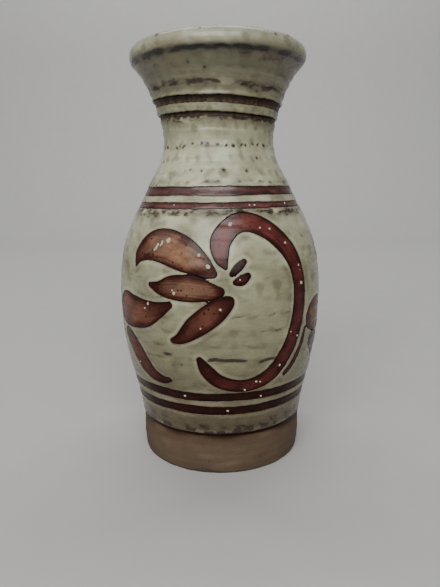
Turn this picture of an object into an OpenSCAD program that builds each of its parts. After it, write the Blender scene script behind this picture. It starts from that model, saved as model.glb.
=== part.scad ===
// Wheel-thrown stoneware vase with a swelling belly, a drawn-in neck and a rolled lip.
// The clay wall carries iron brush strokes and banded lines, with a pale glaze laid round them.
// The vase stands on z = 0 and its axis of turning is Z; the middle of a painted motif faces -Y.

/* [Form] */
// Overall height, foot to lip
vase_h = 305; // [290:1:320]
// Radius of the clay at the foot
foot_r = 63; // [60:0.5:66]
// Radius of the clay at the widest part of the belly
belly_r = 77.1; // [74:0.1:80]
// Radius of the clay at the narrowest part of the neck
neck_r = 40.6; // [38:0.1:44]
// Radius of the circle that the middle of the lip roll follows
lip_r = 57.2; // [55:0.1:60]
// Radius of the lip roll itself
roll_r = 6.6; // [5.5:0.1:7]

/* [Wall] */
// Thickness of the thrown wall
wall = 6; // [5:0.5:7]
// Thickness of the floor inside
floor_t = 11; // [9:0.5:14]
// Depth of the turned recess inside the foot ring
recess = 4; // [3:0.5:5]
// Width of the foot ring
foot_ring_w = 11; // [9:0.5:14]
// Bevel round the bottom edge of the foot
foot_bevel = 1.5; // [0.5:0.5:2]

/* [Glazes] */
// Thickness of the pale outer glaze
glaze_t = 0.8; // [0.6:0.1:1]
// Thickness of the liner glaze
liner_t = 0.5; // [0.4:0.1:0.8]
// Thickness of the iron strokes and bands
iron_t = 0.5; // [0.3:0.1:0.5]
// Gap between the edge of a stroke and the pale glaze round it
edge_gap = 0.15; // [0.1:0.05:0.25]

/* [Motif] */
// Middle angle, squeeze and sag of each of the three motifs round the belly
motifs = [[0, 1, 0], [123, 0.97, 6], [239.7, 0.91, 3]];
// Tilt of the two thin lines round the neck
neck_tilt = 2.3; // [0:0.1:3]

/* [Hidden] */
$fn = 144;
nominal_h = 305;
zs = vase_h / nominal_h;
rise_steps = 3;
brush_steps = 2;
tip_steps = 4;
reach = 140;
least_rise = 0.4;
tilt_room = 3;
// Where a motif's sag begins, and the height over which it grows to its full value
sag_from = 73;
sag_over = 32;
// Round corner between the wall and the floor inside, and the lowest key ring above it
base_round = 22;
base_ring = 3;
// Angle round the lip roll at which the wall meets its underside
under_roll = -50;

// Clay outline: [share of the height, radius], foot to the underside of the lip roll
FORM = [
    [0, foot_r - 1.2],
    [0.045, foot_r],
    [0.09, foot_r],
    [0.13, foot_r + 1.3],
    [0.18, foot_r + 4.5],
    [0.24, belly_r - 5.4],
    [0.31, belly_r - 1.9],
    [0.39, belly_r],
    [0.47, belly_r - 0.7],
    [0.54, belly_r - 4.7],
    [0.60, belly_r - 12.3],
    [0.645, belly_r - 19.4],
    [0.69, neck_r + 10.5],
    [0.735, neck_r + 3.1],
    [0.78, neck_r],
    [0.82, neck_r + 1],
    [0.86, neck_r + 4.6],
    [0.90, lip_r - 7.6],
    [0.935, lip_r - 1.8]
];
RINGS = len(FORM) - 1;

// Bands laid on the turning wheel: [name, lower edge, upper edge, tilt]
BANDS = [
    ["glaze_line", 30.2, 32.4, 0],
    ["lower_band_bottom", 48.2, 54.5, 0],
    ["lower_band_top", 59.1, 65.3, 0],
    ["shoulder_band_bottom", 191.4, 195.5, 0],
    ["shoulder_band_top", 200.2, 206.1, 0],
    ["neck_line_bottom", 252.7, 255.6, neck_tilt],
    ["neck_line_top", 261.1, 265.9, neck_tilt]
];

// Fields of pale glaze between the bands, bottom to top
FIELDS = [
    "glaze_above_foot",
    "glaze_lower_stripe",
    "glaze_belly",
    "glaze_shoulder_stripe",
    "glaze_neck",
    "glaze_neck_stripe",
    "glaze_rim"
];
BELLY = 2;

// Brush strokes of one motif: [name, spine], where each spine point is
// [angle round the vase, height, half the width of the brush mark]
STROKES = [
    ["crescent", [
        [3, 153.5, 1], [0.7, 161, 4.7], [0.8, 171.5, 6.7], [7.5, 180.5, 6.3], [16.5, 182.7, 6.3],
        [28, 177.5, 6.5], [37.5, 167, 6.8], [43.5, 154, 6.5], [46, 137, 6.5], [44.5, 116, 6.5],
        [39.7, 96, 6.5], [30.5, 79.5, 6], [20, 72.3, 5], [9.5, 71, 4.5], [-1, 75, 4.8],
        [-7.5, 83, 4.5], [-11, 91, 2]]],
    ["petal_upper", [
        [-50.5, 153.5, 1.5], [-48, 161, 5.5], [-40, 167, 9.5], [-30, 167, 11.2],
        [-19.5, 162.5, 10.9], [-11.5, 157.1, 7.9], [-6.3, 152.3, 4.9], [-3.3, 149.9, 2.6]]],
    ["petal_middle", [
        [-38, 141, 1.5], [-31.5, 139.5, 4.5], [-23, 140.4, 8.2], [-13, 139.9, 8.4],
        [-5, 138.5, 5.6], [0, 138.3, 3]]],
    ["petal_lower", [
        [-25, 103.5, 1.8], [-20, 106, 4], [-12.5, 114.3, 7.2], [-4, 123, 7.8],
        [2.5, 129.8, 5.3], [4.6, 132.2, 3]]],
    ["leaf", [
        [-65.5, 118.5, 9.5], [-60.5, 120, 12.7], [-52, 119.5, 11.8], [-43, 120, 9.7],
        [-34, 123.5, 5.8], [-26, 128.3, 2.2]]],
    ["stem", [
        [-62, 99, 6.5], [-58, 95.5, 7.8], [-53, 88.2, 8.2], [-47.3, 80, 6.9],
        [-41.3, 74.3, 4.6], [-34.5, 72.2, 2.9], [-29.8, 73, 1.6]]],
    ["tendril", [
        [51.9, 105.5, 1.6], [50.4, 97, 2.3], [48, 90, 2.6], [45.2, 83.7, 2.6],
        [42, 78.9, 2.4], [38.4, 75.2, 1.6]]],
    ["stamen_upper", [[6, 149.7, 1.7], [9.2, 153.8, 2.7], [12.3, 157.4, 1.8]]],
    ["stamen_lower", [[7.7, 144.3, 1.7], [10.9, 145.5, 3.3], [13.9, 148.2, 2.1]]]
];
SAGGING = ["leaf", "stem"];
RUST = ["petal_upper", "petal_middle", "petal_lower", "leaf"];

clay = "#6b5a48";
pale = "#a5a283";
iron = "#4a1f1a";
rust = "#8a5238";

roll_z = vase_h - glaze_t - roll_r;
base_top = floor_t + base_round;
base_r = clay_r(rise(base_ring)) - wall - base_round;

// ---- outline of the pot ----

function rise(i) = FORM[i][0] * vase_h;

// Slope of the outline at a key ring, from the rings on either side of it
function lean(i) =
    let (a = max(i - 1, 0), b = min(i + 1, RINGS))
    (FORM[b][1] - FORM[a][1]) / (rise(b) - rise(a));

// Radius of the clay at height z, a smooth cubic between key rings
function clay_r(z, i = 0) =
    z > rise(i + 1) && i < RINGS - 1 ? clay_r(z, i + 1) :
    let (h = rise(i + 1) - rise(i), t = (z - rise(i)) / h)
    FORM[i][1] * (1 + 2 * t) * pow(1 - t, 2)
    + h * lean(i) * t * pow(1 - t, 2)
    + FORM[i + 1][1] * t * t * (3 - 2 * t)
    + h * lean(i + 1) * t * t * (t - 1);

function reversed(list) = [for (i = [len(list) - 1 : -1 : 0]) list[i]];

// Outside of the clay grown by g, from height z0 up to z1
function outside(g, z0, z1) = concat(
    [[clay_r(z0) + g, z0]],
    [for (i = [0 : RINGS - 1]) for (k = [0 : rise_steps - 1])
        let (z = rise(i) + (rise(i + 1) - rise(i)) * k / rise_steps)
        if (z > z0 + least_rise && z < z1 - least_rise) [clay_r(z) + g, z]],
    [[clay_r(z1) + g, z1]]
);

// Lip roll grown by g, from its underside over the top and down its inner side
function roll(g) = [
    for (a = [under_roll : 10 : 180])
        [lip_r + (roll_r + g) * cos(a), roll_z + (roll_r + g) * sin(a)]
];

// Inside of the wall brought inwards by g, from under the lip down to the floor
function inside(g) = concat(
    [for (i = [RINGS : -1 : base_ring]) for (k = [0 : 1])
        let (z = rise(i) - k * (rise(i) - rise(i - 1)) / 2)
        if (z > base_top) [clay_r(z) - wall - g, z]],
    [for (a = [0 : 15 : 90])
        [base_r + (base_round - g) * cos(a), base_top - (base_round - g) * sin(a)]],
    [[0, floor_t + g]]
);

// ---- brush marks ----

// Point t of the way from b to c on the smooth curve through a, b, c and d
function smooth(a, b, c, d, t) =
    (2 * b + (c - a) * t + (2 * a - 5 * b + 4 * c - d) * t * t
    + (3 * b - a - 3 * c + d) * pow(t, 3)) / 2;

function spine(p) =
    let (last = len(p) - 1, q = concat([2 * p[0] - p[1]], p, [2 * p[last] - p[last - 1]]))
    concat(
        [for (i = [0 : last - 1]) for (k = [0 : brush_steps - 1])
            smooth(q[i], q[i + 1], q[i + 2], q[i + 3], k / brush_steps)],
        [p[last]]
    );

// Millimetres round the surface for one degree of turn at height z
function per_degree(z) = clay_r(z * zs) * PI / 180;

// Direction of the brush at spine point i, in millimetres round and up
function heading(c, i) =
    let (a = c[max(i - 1, 0)], b = c[min(i + 1, len(c) - 1)],
         d = [(b[0] - a[0]) * per_degree(c[i][1]), b[1] - a[1]])
    d / norm(d);

// The point f forwards and s sideways of spine point i, as [angle, height]
function beside(c, i, f, s) =
    let (d = heading(c, i))
    [c[i][0] + (d[0] * f - d[1] * s) / per_degree(c[i][1]), c[i][1] + d[1] * f + d[0] * s];

// Outline of a brush mark grown by g, with both tips round
function mark(c, g) =
    let (last = len(c) - 1)
    concat(
        [for (i = [0 : last]) beside(c, i, 0, c[i][2] + g)],
        [for (k = [1 : tip_steps - 1]) let (a = 90 - 180 * k / tip_steps)
            beside(c, last, (c[last][2] + g) * cos(a), (c[last][2] + g) * sin(a))],
        [for (i = [last : -1 : 0]) beside(c, i, 0, -c[i][2] - g)],
        [for (k = [1 : tip_steps - 1]) let (a = 180 * k / tip_steps - 90)
            beside(c, 0, -(c[0][2] + g) * cos(a), (c[0][2] + g) * sin(a))]
    );

// A stroke's spine placed in motif m: turned, squeezed, and sagging where the stroke does
function placed(stroke, m) =
    let (sag = len([for (n = SAGGING) if (n == stroke[0]) n]) > 0 ? m[2] : 0)
    [for (p = stroke[1])
        [m[0] + m[1] * p[0], p[1] - sag * min(max((p[1] - sag_from) / sag_over, 0), 1), p[2]]];

// ---- building blocks ----

module turned(points) {
    rotate_extrude()
        polygon(points);
}

// A coat of thickness t on the outside of the clay, from z0 up to z1
module coat(z0, z1, t) {
    turned(concat(outside(t, z0, z1), reversed(outside(0, z0, z1))));
}

// Everything above height z, with the cut leaning down towards +X by tilt
module above(z, tilt) {
    translate([0, 0, z])
        rotate([0, tilt, 0])
            translate([-reach, -reach, 0])
                cube([2 * reach, 2 * reach, reach]);
}

// Everything below height z, with the same lean
module below(z, tilt) {
    translate([0, 0, z])
        rotate([0, tilt, 0])
            translate([-reach, -reach, -reach])
                cube([2 * reach, 2 * reach, reach]);
}

// The brush mark as a prism that leaves the axis through the wall
module brushed(stroke, m, g) {
    c = spine(placed(stroke, m));
    outline = mark(c, g);
    middle = (min([for (p = outline) p[0]]) + max([for (p = outline) p[0]])) / 2;
    rotate([0, 0, middle])
        rotate([90, 0, 0])
            linear_extrude(height = reach)
                polygon([for (p = outline)
                    [(clay_r(p[1] * zs) + iron_t / 2) * sin(p[0] - middle), p[1] * zs]]);
}

// ---- the pot ----

module clay_body() {
    color(clay)
        turned(concat(
            [[0, recess], [foot_r - foot_ring_w, recess], [foot_r - foot_ring_w, 0]],
            [[clay_r(0) - foot_bevel, 0]],
            outside(0, foot_bevel, rise(RINGS)),
            roll(0),
            inside(0)
        ));
}

module liner_glaze() {
    color(pale)
        turned(concat(inside(liner_t), reversed(inside(0))));
}

// ---- iron bands ----

module iron_band(band) {
    z0 = band[1] * zs;
    z1 = band[2] * zs;
    swing = band[3] > 0 ? tilt_room : 0;
    color(iron)
        difference() {
            coat(z0 - swing, z1 + swing, iron_t);
            if (swing > 0) {
                above(z1, band[3]);
                below(z0, band[3]);
            }
        }
}

// ---- pale glaze ----

// Pale glaze over the lip, from height z0 up, over the roll and down to the liner
module lip_coat(z0) {
    top = rise(RINGS);
    turned(concat(
        outside(glaze_t, z0, top),
        roll(glaze_t),
        [[clay_r(top) - wall - glaze_t, top], [clay_r(top) - wall, top]],
        reversed(roll(0)),
        reversed(outside(0, z0, top))
    ));
}

// Field i of pale glaze, which fills the space over band i and under the next band
module pale_field(i) {
    low = BANDS[i];
    z0 = low[2] * zs;
    swing0 = low[3] > 0 ? tilt_room : 0;
    color(pale)
        difference() {
            if (i == len(FIELDS) - 1) {
                lip_coat(z0 - swing0);
            } else {
                high = BANDS[i + 1];
                coat(z0 - swing0, high[1] * zs + (high[3] > 0 ? tilt_room : 0), glaze_t);
            }
            if (swing0 > 0)
                below(z0, low[3]);
            if (i < len(FIELDS) - 1 && BANDS[i + 1][3] > 0)
                above(BANDS[i + 1][1] * zs, BANDS[i + 1][3]);
            if (i == BELLY)
                for (m = motifs)
                    for (s = STROKES)
                        brushed(s, m, edge_gap);
        }
}

// ---- iron brush strokes ----

module iron_stroke(stroke, m) {
    c = spine(placed(stroke, m));
    widest = max([for (p = c) p[2]]);
    low = min([for (p = c) p[1]]) - widest;
    high = max([for (p = c) p[1]]) + widest;
    color(len([for (n = RUST) if (n == stroke[0]) n]) > 0 ? rust : iron)
        intersection() {
            coat(low * zs, high * zs, iron_t);
            brushed(stroke, m, 0);
        }
}

clay_body();
liner_glaze();
for (band = BANDS)
    iron_band(band);
for (i = [0 : len(FIELDS) - 1])
    pale_field(i);
for (m = [0 : len(motifs) - 1])
    for (s = STROKES)
        iron_stroke(s, motifs[m]);
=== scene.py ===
"""Wheel-thrown stoneware vase: pale glaze round iron brush strokes and banded lines, bare clay foot.

Lengths are in millimetres until a mesh is made, and angles in degrees. Angle 0 faces -Y and grows towards +X.
"""

import math

import bpy
import numpy as np
from mathutils import Matrix, Vector


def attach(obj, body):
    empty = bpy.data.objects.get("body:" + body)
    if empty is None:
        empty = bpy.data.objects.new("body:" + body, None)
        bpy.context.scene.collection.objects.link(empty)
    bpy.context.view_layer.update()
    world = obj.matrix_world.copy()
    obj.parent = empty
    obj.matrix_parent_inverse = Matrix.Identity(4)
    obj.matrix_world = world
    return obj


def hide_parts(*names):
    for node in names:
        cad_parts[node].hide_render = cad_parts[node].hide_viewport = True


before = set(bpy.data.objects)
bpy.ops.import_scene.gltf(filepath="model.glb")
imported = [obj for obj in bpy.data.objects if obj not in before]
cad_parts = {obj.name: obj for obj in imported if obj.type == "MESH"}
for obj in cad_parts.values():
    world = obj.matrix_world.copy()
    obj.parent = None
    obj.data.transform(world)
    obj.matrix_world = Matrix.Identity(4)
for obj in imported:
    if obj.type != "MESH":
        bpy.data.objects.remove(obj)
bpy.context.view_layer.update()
MM = 0.001
TURN = 2 * math.pi

# ---- the pot's own sizes, as in the CAD part ----

VASE_H = 305.0
FOOT_R = 63.0
BELLY_R = 77.1
NECK_R = 40.6
LIP_R = 57.2
ROLL_R = 6.6
WALL = 6.0
FLOOR_T = 11.0
RECESS = 4.0
FOOT_RING_W = 11.0
FOOT_BEVEL = 1.5
GLAZE_T = 0.8
LINER_T = 0.5
IRON_T = 0.5
ROLL_Z = VASE_H - GLAZE_T - ROLL_R
BASE_ROUND = 22.0
BASE_TOP = FLOOR_T + BASE_ROUND
# Slope of the neck lines, and the height over which the smears slope with them
NECK_TILT = math.tan(math.radians(2.3))
NECK_Z = 240.0

# Outside of the clay: share of the height, radius
FORM = np.array([
    [0, FOOT_R - 1.2], [0.045, FOOT_R], [0.09, FOOT_R], [0.13, FOOT_R + 1.3], [0.18, FOOT_R + 4.5],
    [0.24, BELLY_R - 5.4], [0.31, BELLY_R - 1.9], [0.39, BELLY_R], [0.47, BELLY_R - 0.7],
    [0.54, BELLY_R - 4.7], [0.60, BELLY_R - 12.3], [0.645, BELLY_R - 19.4], [0.69, NECK_R + 10.5],
    [0.735, NECK_R + 3.1], [0.78, NECK_R], [0.82, NECK_R + 1], [0.86, NECK_R + 4.6],
    [0.90, LIP_R - 7.6], [0.935, LIP_R - 1.8],
])
KEY_Z = FORM[:, 0] * VASE_H
KEY_R = FORM[:, 1]
TOP_Z = KEY_Z[-1]
TOP_R = KEY_R[-1]

# Bands laid on the turning wheel: name, lower edge, upper edge, tilt
BANDS = [
    ("glaze_line", 30.2, 32.4, 0.0),
    ("lower_band_bottom", 48.2, 54.5, 0.0),
    ("lower_band_top", 59.1, 65.3, 0.0),
    ("shoulder_band_bottom", 191.4, 195.5, 0.0),
    ("shoulder_band_top", 200.2, 206.1, 0.0),
    ("neck_line_bottom", 252.7, 255.6, NECK_TILT),
    ("neck_line_top", 261.1, 265.9, NECK_TILT),
]

# Fields of pale glaze, each over the band of the same place in the list
FIELDS = [
    "glaze_above_foot", "glaze_lower_stripe", "glaze_belly", "glaze_shoulder_stripe",
    "glaze_neck", "glaze_neck_stripe", "glaze_rim",
]

# Middle angle, squeeze and sag of the three motifs
MOTIFS = [(0.0, 1.0, 0.0), (123.0, 0.97, 6.0), (239.7, 0.91, 3.0)]
SAG_FROM = 73.0
SAG_OVER = 32.0
SAGGING = ("leaf", "stem")

# Brush strokes of one motif: points of the spine as angle, height, half the width
STROKES = {
    "crescent": [
        (3, 153.5, 1), (0.7, 161, 4.7), (0.8, 171.5, 6.7), (7.5, 180.5, 6.3), (16.5, 182.7, 6.3),
        (28, 177.5, 6.5), (37.5, 167, 6.8), (43.5, 154, 6.5), (46, 137, 6.5), (44.5, 116, 6.5),
        (39.7, 96, 6.5), (30.5, 79.5, 6), (20, 72.3, 5), (9.5, 71, 4.5), (-1, 75, 4.8),
        (-7.5, 83, 4.5), (-11, 91, 2)],
    "petal_upper": [
        (-50.5, 153.5, 1.5), (-48, 161, 5.5), (-40, 167, 9.5), (-30, 167, 11.2),
        (-19.5, 162.5, 10.9), (-11.5, 157.1, 7.9), (-6.3, 152.3, 4.9), (-3.3, 149.9, 2.6)],
    "petal_middle": [
        (-38, 141, 1.5), (-31.5, 139.5, 4.5), (-23, 140.4, 8.2), (-13, 139.9, 8.4),
        (-5, 138.5, 5.6), (0, 138.3, 3)],
    "petal_lower": [
        (-25, 103.5, 1.8), (-20, 106, 4), (-12.5, 114.3, 7.2), (-4, 123, 7.8),
        (2.5, 129.8, 5.3), (4.6, 132.2, 3)],
    "leaf": [
        (-65.5, 118.5, 9.5), (-60.5, 120, 12.7), (-52, 119.5, 11.8), (-43, 120, 9.7),
        (-34, 123.5, 5.8), (-26, 128.3, 2.2)],
    "stem": [
        (-62, 99, 6.5), (-58, 95.5, 7.8), (-53, 88.2, 8.2), (-47.3, 80, 6.9),
        (-41.3, 74.3, 4.6), (-34.5, 72.2, 2.9), (-29.8, 73, 1.6)],
    "tendril": [
        (51.9, 105.5, 1.6), (50.4, 97, 2.3), (48, 90, 2.6), (45.2, 83.7, 2.6),
        (42, 78.9, 2.4), (38.4, 75.2, 1.6)],
    "stamen_upper": [(6, 149.7, 1.7), (9.2, 153.8, 2.7), (12.3, 157.4, 1.8)],
    "stamen_lower": [(7.7, 144.3, 1.7), (10.9, 145.5, 3.3), (13.9, 148.2, 2.1)],
}

# ---- colours ----


def srgb(r, g, b):
    """Linear colour of an 8-bit display colour."""
    c = np.array([r, g, b], float) / 255
    return np.where(c <= 0.04045, c / 12.92, ((c + 0.055) / 1.055) ** 2.4)


def stops(table, x):
    """Linear colour at x on a list of (place, display colour)."""
    at = [t[0] for t in table]
    colours = np.array([srgb(*t[1]) for t in table])
    return np.stack([np.interp(x, at, colours[:, i]) for i in range(3)], axis=-1)


def mixed(a, b, share):
    """Colour a with a share of colour b in it."""
    share = np.clip(share, 0, 1)[..., None]
    return a * (1 - share) + b * share


def smoothstep(lo, hi, x):
    t = np.clip((x - lo) / (hi - lo), 0, 1)
    return t * t * (3 - 2 * t)


def bump_at(x, middle, spread):
    return np.exp(-(((x - middle) / spread) ** 2))


# Pale glaze up the pot: height, colour. The colours hold painted light and shade: darker towards the foot and
# on the flare under the lip, lighter on the shoulder and on the lip's top
PALE_WITH_PAINTED_LIGHT = [
    (30, (66, 53, 35)), (36, (77, 67, 48)), (47, (95, 86, 64)), (57, (112, 102, 80)),
    (66, (107, 102, 79)), (85, (124, 121, 94)), (110, (136, 134, 106)), (150, (161, 161, 131)),
    (178, (182, 181, 152)), (190, (193, 192, 164)), (198, (163, 159, 133)), (210, (194, 194, 165)),
    (228, (187, 187, 158)), (240, (159, 160, 131)), (258, (152, 152, 125)), (268, (134, 132, 106)),
    (280, (104, 102, 82)), (290, (95, 93, 75)), (294, (135, 134, 111)), (299, (175, 175, 152)),
]
HALO = srgb(82, 58, 44)
CREAM = srgb(192, 187, 166)
CREAM_Z = (60, 150, 182, 188, 193, 225, 240)
CREAM_SHARE = (0.35, 1.0, 1.0, 0.2, 1.0, 0.8, 0.0)
SMOKE = srgb(94, 84, 64)
SMUDGE_TINT = srgb(72, 58, 42)
TOAST = srgb(112, 98, 70)

# ---- the pot's shape ----

LEAN = np.array([
    (KEY_R[min(i + 1, len(KEY_R) - 1)] - KEY_R[max(i - 1, 0)])
    / (KEY_Z[min(i + 1, len(KEY_Z) - 1)] - KEY_Z[max(i - 1, 0)])
    for i in range(len(KEY_R))
])


def clay_r(z):
    """Radius of the clay at height z, a smooth cubic between key rings."""
    z = np.asarray(z, float)
    i = np.clip(np.searchsorted(KEY_Z, z) - 1, 0, len(KEY_Z) - 2)
    h = KEY_Z[i + 1] - KEY_Z[i]
    t = (z - KEY_Z[i]) / h
    return (
        KEY_R[i] * (1 + 2 * t) * (1 - t) ** 2
        + h * LEAN[i] * t * (1 - t) ** 2
        + KEY_R[i + 1] * t * t * (3 - 2 * t)
        + h * LEAN[i + 1] * t * t * (t - 1)
    )


def per_degree(z):
    """Length of one degree round the clay at height z."""
    return clay_r(z) * math.pi / 180


def around(cols, start):
    """Angles of the columns of a ring."""
    return start + np.arange(cols) * 360 / cols


def nearest_turn(angle):
    """The same angle between -180 and 180."""
    return (angle + 180) % 360 - 180


def ripple(seed, theta, z, turns, rise, count=20):
    """Smooth random waves of unit strength, whole turns round the pot. turns is the lowest and highest
    number of waves round, and rise the shortest wave upwards in millimetres."""
    rng = np.random.default_rng(seed)
    k = rng.integers(turns[0], turns[1] + 1, count)
    m = rng.uniform(-1, 1, count) * TURN / rise
    phase = rng.uniform(0, TURN, count)
    a = np.radians(theta)
    total = np.zeros(np.broadcast(a, z).shape)
    for i in range(count):
        total += np.cos(k[i] * a + m[i] * z + phase[i])
    return total * math.sqrt(2 / count)


def throwing(z, theta):
    """Soft rings that the fingers left, stronger up the neck and flare."""
    strength = np.interp(z, [0, 30, 190, 215, 250, 285, 300], [0.02, 0.05, 0.05, 0.1, 0.18, 0.26, 0.1])
    lift = z + 7 * theta / 360
    rings = np.sin(lift * TURN / 7.3 + 0.9 * np.sin(lift / 11)) + 0.6 * np.sin(lift * TURN / 4.6 + 2)
    return strength * rings * (1 + 0.25 * ripple(3, theta, z, (1, 4), 60, 8))


def soft(theta, z):
    """Unevenness of the thrown wall, in millimetres outwards."""
    wobble = 0.16 * ripple(5, theta, z, (1, 3), 90, 8)
    return throwing(z, theta) + wobble + 0.05 * ripple(6, theta, z, (5, 24), 9)


def edge(i, side, theta):
    """Height of the lower (0) or upper (1) edge of band i round the pot."""
    base = BANDS[i][1 + side]
    slope = BANDS[i][3] * clay_r(base) * np.sin(np.radians(theta))
    seed = 40 + 2 * i + side
    slow = 0.16 * ripple(seed, theta, 0 * theta, (2, 9), 10, 8)
    quick = 0.08 * ripple(seed + 30, theta, 0 * theta, (14, 60), 10)
    return base - slope + slow + quick


def ledge(theta, z):
    """Step at the upper edge of each neck line: proud above it and sunk below it."""
    step = np.zeros(np.broadcast(theta, z).shape)
    for i, band in enumerate(BANDS):
        if band[3]:
            over = z - edge(i, 1, theta)
            step += np.where(over > 0, 0.5 * np.exp(-np.maximum(over, 0) / 3.2), 0)
            step -= np.where(over <= 0, 0.3 * np.exp(np.minimum(over, 0) / 3.2), 0)
    return step


def glaze_surface(theta, z):
    """Radius on which the coats lie, before their own thickness."""
    return clay_r(z) + soft(theta, z) + ledge(theta, z)


# How far the backs of the coats, and the clay behind them, lie inside the surface of the wall
UNDER = -0.35
CLAY_SINK = -0.4
# Half the gap between two coats side by side, and a hair's breadth
GAP = 0.05
HAIR = 1e-4


def coat_back(theta, z):
    """Radius of the back of a coat."""
    return clay_r(z) + soft(theta, z) + UNDER


def coat_height(depth, full, rim=0.3, bevel=0.45, bead=0.07):
    """Thickness of a coat at a depth in from its edge: a round shoulder, then a faint bead."""
    t = np.clip(depth / bevel, 0, 1)
    return rim + (full - rim) * np.sqrt(1 - (1 - t) ** 2) + bead * bump_at(depth, 1.0, 0.8)


# ---- meshes ----


def build(name, points, loops, counts, material, tint=None, rows=None):
    """A mesh object of points in millimetres. Its colour and its smears are kept on the points."""
    me = bpy.data.meshes.new(name)
    me.vertices.add(len(points))
    me.vertices.foreach_set("co", (np.asarray(points) * MM).astype(np.float32).ravel())
    me.loops.add(len(loops))
    me.loops.foreach_set("vertex_index", np.asarray(loops, np.int32))
    me.polygons.add(len(counts))
    starts = np.concatenate([[0], np.cumsum(counts)[:-1]]).astype(np.int32)
    me.polygons.foreach_set("loop_start", starts)
    me.polygons.foreach_set("use_smooth", np.ones(len(counts), bool))
    me.update(calc_edges=True)
    me.validate()
    me.materials.append(material)
    if tint is not None:
        layer = me.attributes.new("tint", "FLOAT_COLOR", "POINT")
        opaque = np.column_stack([tint, np.ones(len(tint))])
        layer.data.foreach_set("color", opaque.astype(np.float32).ravel())
    if rows is not None:
        layer = me.attributes.new("rows", "FLOAT", "POINT")
        layer.data.foreach_set("value", rows.astype(np.float32))
    piece = bpy.data.objects.new(name, me)
    bpy.context.scene.collection.objects.link(piece)
    return piece


def add_piece(node, material, points, loops, counts, tint, rows=None):
    """The finished piece that takes the place of one node of the CAD part."""
    piece = build("vase_" + node, points, loops, counts, material, tint, rows)
    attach(piece, "root")
    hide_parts(node)


def on_pot(theta, r, z):
    """Points at an angle, radius and height."""
    a = np.radians(theta)
    return np.stack([r * np.sin(a), -r * np.cos(a), z + 0 * a], axis=-1)


def face_ends(counts):
    """For each corner of each face, the places of the first corner of its face and of the next face's."""
    ends = np.cumsum(counts)
    which = np.repeat(np.arange(len(counts)), counts)
    return (ends - counts)[which], ends[which]


def flip(loops, counts):
    """The same faces seen from the other side."""
    start, end = face_ends(counts)
    return loops[start + end - 1 - np.arange(len(loops))]


def shell(theta, z, out, under, loops, counts):
    """Points and faces of a closed coat: the sheet at radius out, again at radius under, and its sides."""
    n = len(theta)
    start, end = face_ends(counts)
    after = np.arange(len(loops)) + 1
    a, b = loops, loops[np.where(after == end, start, after)]
    open_edge = ~np.isin(a.astype(np.int64) * n + b, b.astype(np.int64) * n + a)
    a, b = a[open_edge], b[open_edge]
    walls = np.stack([b, a, a + n, b + n], axis=1).ravel()
    points = np.concatenate([on_pot(theta, out, z), on_pot(theta, under, z)])
    loops = np.concatenate([loops, flip(loops, counts) + n, walls])
    return points, loops, np.concatenate([counts, counts, np.full(len(a), 4)])


def slopes(theta, z, depth, wrap):
    """Gradient of the depth, in millimetres round and up."""
    if wrap:
        across = np.roll(theta, -1, 1) - np.roll(theta, 1, 1)
        across[:, [0, -1]] += 360
        rise = np.roll(depth, -1, 1) - np.roll(depth, 1, 1)
    else:
        across = np.gradient(theta, axis=1)
        rise = np.gradient(depth, axis=1)
    return rise / (across * per_degree(z)), np.gradient(depth, axis=0) / np.gradient(z, axis=0)


def numbered(mask, start):
    """Numbers from start onwards where mask is true, and -1 elsewhere."""
    number = np.full(mask.shape, -1)
    number[mask] = start + np.arange(mask.sum())
    return number


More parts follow.
